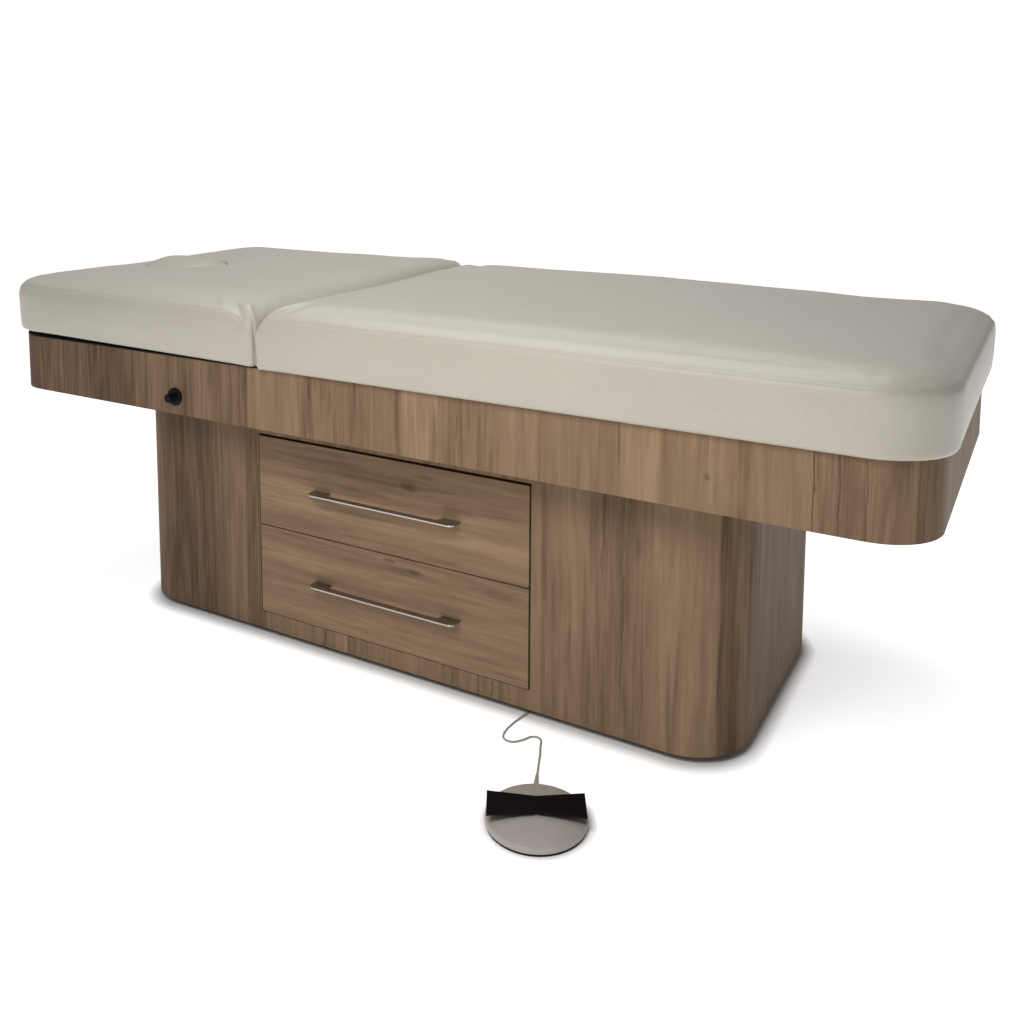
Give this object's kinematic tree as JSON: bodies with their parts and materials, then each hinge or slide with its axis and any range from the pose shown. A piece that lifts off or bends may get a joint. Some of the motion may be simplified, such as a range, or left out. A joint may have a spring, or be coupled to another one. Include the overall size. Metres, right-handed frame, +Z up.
{
  "type": "facial treatment bed",
  "caption": "Electric-lift facial treatment bed: wood pedestal with drawers, wood-skirted top, padded body section, hinged head section with face plug, and foot switch.",
  "frame": {"origin": "on the floor under the middle of the bed, at the centre of the middle glide", "axes": "+X along the bed's length to the foot end, -Y to the drawer side, +Z up"},
  "size_m": [1.9796, 1.037, 0.74],
  "materials": {
    "wood_upright": "satin",
    "wood_drawer": "satin",
    "cabinet_board": "matte",
    "black_board": "matte",
    "leatherette": "satin",
    "brushed_steel": "satin",
    "zinc_steel": "satin",
    "painted_steel": "satin",
    "column_aluminium": "satin",
    "black_plastic": "satin",
    "rocker_plastic": "satin",
    "grey_plastic": "matte",
    "black_rubber": "matte",
    "cord_jacket": "satin",
    "black_jacket": "satin"
  },
  "bodies": {
    "pedestal": {"base_board": "cabinet_board", "floor_glides": "black_rubber", "front_panels": "wood_upright", "front_rails": "wood_upright", "pedestal_corners": "wood_upright", "pedestal_ends": "wood_upright", "pedestal_back": "wood_upright", "cabinet_top_board": "cabinet_board", "drawer_partitions": "cabinet_board", "fixed_slides": "zinc_steel", "column_housings": "column_aluminium", "lift_motors": "black_plastic", "control_box": "black_plastic", "mains_inlet": "black_plastic", "control_leads": "black_jacket", "cable_gland": "black_plastic", "foot_switch_pad": "black_rubber", "foot_switch_base": "grey_plastic", "switch_boots": "black_rubber", "cord_relief": "grey_plastic", "foot_switch_cord": "cord_jacket"},
    "top": {"apron_front_head": "wood_upright", "apron_front_foot": "wood_upright", "apron_back": "wood_upright", "apron_ends": "wood_upright", "apron_corners": "wood_upright", "edge_strip": "black_rubber", "lift_frame": "painted_steel", "deck_board": "cabinet_board", "body_cushion": "leatherette", "hinge_brackets": "painted_steel", "column_tubes": "column_aluminium", "spindle_nuts": "black_plastic", "backrest_stops": "black_rubber", "button_bush": "black_plastic", "release_cable": "black_jacket", "release_head": "black_plastic", "spring_anchor": "painted_steel", "gas_rod": "zinc_steel"},
    "backrest": {"backrest_board": "black_board", "backrest_brackets": "painted_steel", "head_cushion": "leatherette"},
    "plug": {"face_plug": "leatherette"},
    "gas_spring": {"gas_cylinder": "painted_steel"},
    "button": {"release_button": "black_plastic"},
    "rocker": {"foot_switch_rocker": "rocker_plastic"},
    "head_screw": {"head_spindle": "zinc_steel"},
    "foot_screw": {"foot_spindle": "zinc_steel"},
    "upper_drawer": {"upper_drawer_front": "wood_drawer", "upper_drawer_handle": "brushed_steel", "upper_drawer_walls": "cabinet_board", "upper_drawer_bottom": "cabinet_board", "upper_drawer_runners": "zinc_steel"},
    "upper_slides": {"upper_middle_slides": "zinc_steel"},
    "lower_drawer": {"lower_drawer_front": "wood_drawer", "lower_drawer_handle": "brushed_steel", "lower_drawer_walls": "cabinet_board", "lower_drawer_bottom": "cabinet_board", "lower_drawer_runners": "zinc_steel"},
    "lower_slides": {"lower_middle_slides": "zinc_steel"}
  },
  "joints": [
    {"name": "bed_lift", "type": "slide", "parent": "pedestal", "child": "top", "axis": [0, 0, 1], "range_m": [0, 0.25]},
    {"name": "backrest_tilt", "type": "hinge", "parent": "top", "child": "backrest", "pos_m": [-0.231, 0, 0.588], "axis": [0, 1, 0], "range_deg": [0, 45]},
    {"name": "plug_lift", "type": "slide", "parent": "backrest", "child": "plug", "axis": [0.0126, 0, 0.9999], "range_m": [0, 0.16]},
    {"name": "gas_spring_swing", "type": "hinge", "parent": "backrest", "child": "gas_spring", "pos_m": [-0.20995, 0, 0.53719], "axis": [0, 1, 0], "range_deg": [-46, 1]},
    {"name": "button_press", "type": "slide", "parent": "top", "child": "button", "axis": [0, 1, 0], "range_m": [0, 0.006], "stiffness_N_per_m": 1000, "springref_m": -0.003},
    {"name": "rocker_tilt", "type": "hinge", "parent": "pedestal", "child": "rocker", "pos_m": [0.455, -0.553, 0.0215], "axis": [-0.4695, 0.8829, 0], "range_deg": [-4, 4], "stiffness_Nm_per_rad": 3},
    {"name": "head_screw_turn", "type": "hinge", "parent": "pedestal", "child": "head_screw", "pos_m": [-0.48, 0, 0.1], "axis": [0, 0, 1], "range_deg": [-1, 11251]},
    {"name": "foot_screw_turn", "type": "hinge", "parent": "pedestal", "child": "foot_screw", "pos_m": [0.48, 0, 0.1], "axis": [0, 0, 1], "range_deg": [-1, 11251]},
    {"name": "upper_drawer_slide", "type": "slide", "parent": "pedestal", "child": "upper_drawer", "axis": [0, -1, 0], "range_m": [0, 0.4]},
    {"name": "upper_slides_travel", "type": "slide", "parent": "pedestal", "child": "upper_slides", "axis": [0, -1, 0], "range_m": [0, 0.2]},
    {"name": "lower_drawer_slide", "type": "slide", "parent": "pedestal", "child": "lower_drawer", "axis": [0, -1, 0], "range_m": [0, 0.4]},
    {"name": "lower_slides_travel", "type": "slide", "parent": "pedestal", "child": "lower_slides", "axis": [0, -1, 0], "range_m": [0, 0.2]}
  ],
  "couplings": [
    {"joint": "head_screw_turn", "follows": "bed_lift", "rad_per_m": 785.4},
    {"joint": "foot_screw_turn", "follows": "bed_lift", "rad_per_m": 785.4},
    {"joint": "gas_spring_swing", "follows": "backrest_tilt", "ratio": -1},
    {"joint": "upper_slides_travel", "follows": "upper_drawer_slide", "ratio": 0.5},
    {"joint": "lower_slides_travel", "follows": "lower_drawer_slide", "ratio": 0.5}
  ]
}
